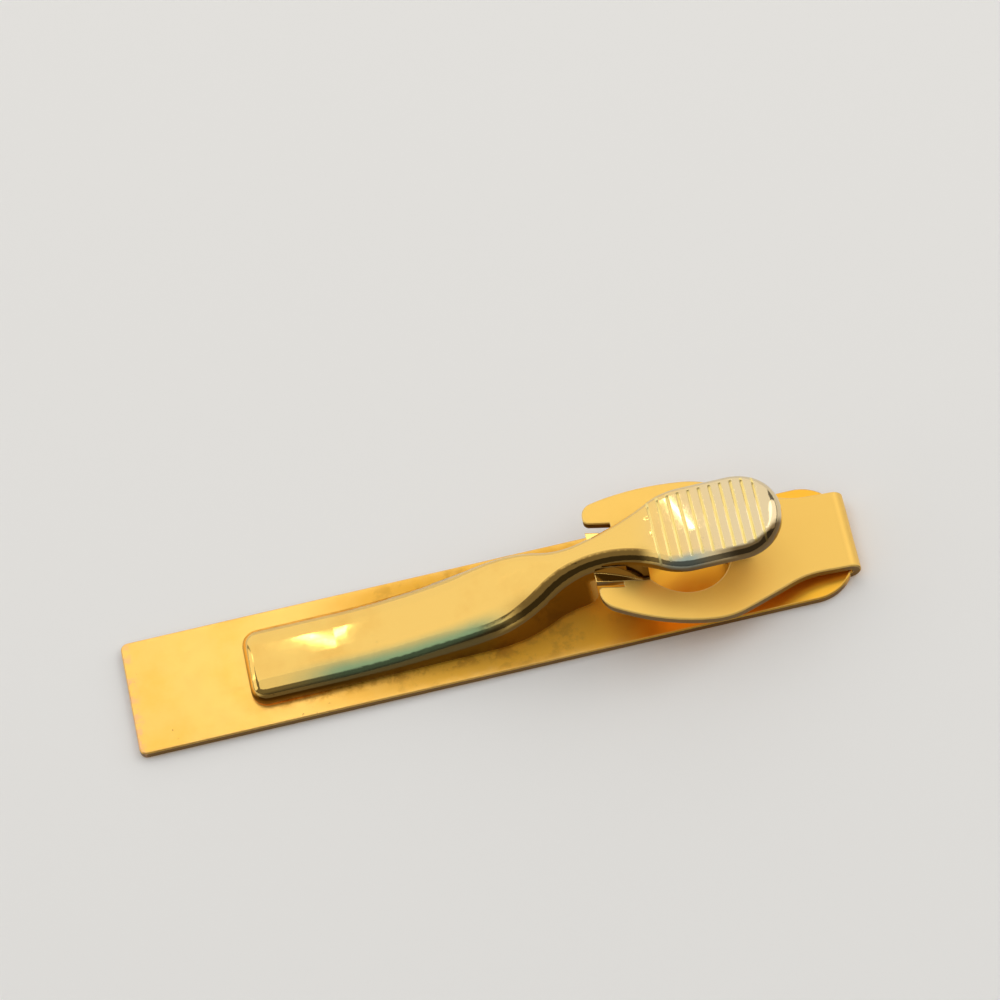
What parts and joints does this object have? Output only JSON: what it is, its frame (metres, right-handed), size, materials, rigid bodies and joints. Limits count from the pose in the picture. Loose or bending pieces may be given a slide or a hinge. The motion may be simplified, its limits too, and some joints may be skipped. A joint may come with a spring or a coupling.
{
  "type": "tie clip",
  "caption": "Gilt tie clip: a plain bar folded back into a crescent-ended tongue, with a sprung rocking lever that has a ribbed thumb pad and a channel jaw.",
  "frame": {"origin": "under the middle of the clip, on the front face of the bar that it lies on", "axes": "+X along the bar towards the fold, +Z from the front face up to the lever, +Y across the bar"},
  "size_m": [0.06, 0.013, 0.0088],
  "materials": {
    "gilt_strip": "polished gold plate, lightly worn",
    "gilt_lever": "polished gold plate, worn pale on the thumb pad",
    "spring_steel": "bright rolled steel"
  },
  "bodies": {
    "strip": {"bar_and_tongue": "gilt_strip", "leaf_spring": "spring_steel"},
    "lever": {"clip_lever": "gilt_lever"}
  },
  "joints": [
    {"name": "lever_pivot", "type": "hinge", "parent": "strip", "child": "lever", "pos_m": [0.01167, 0, 0.00476], "axis": [0, 1, 0], "range_deg": [0, 16], "stiffness_Nm_per_rad": 0.12, "springref_deg": -22.92, "deforming": ["leaf_spring"]}
  ]
}
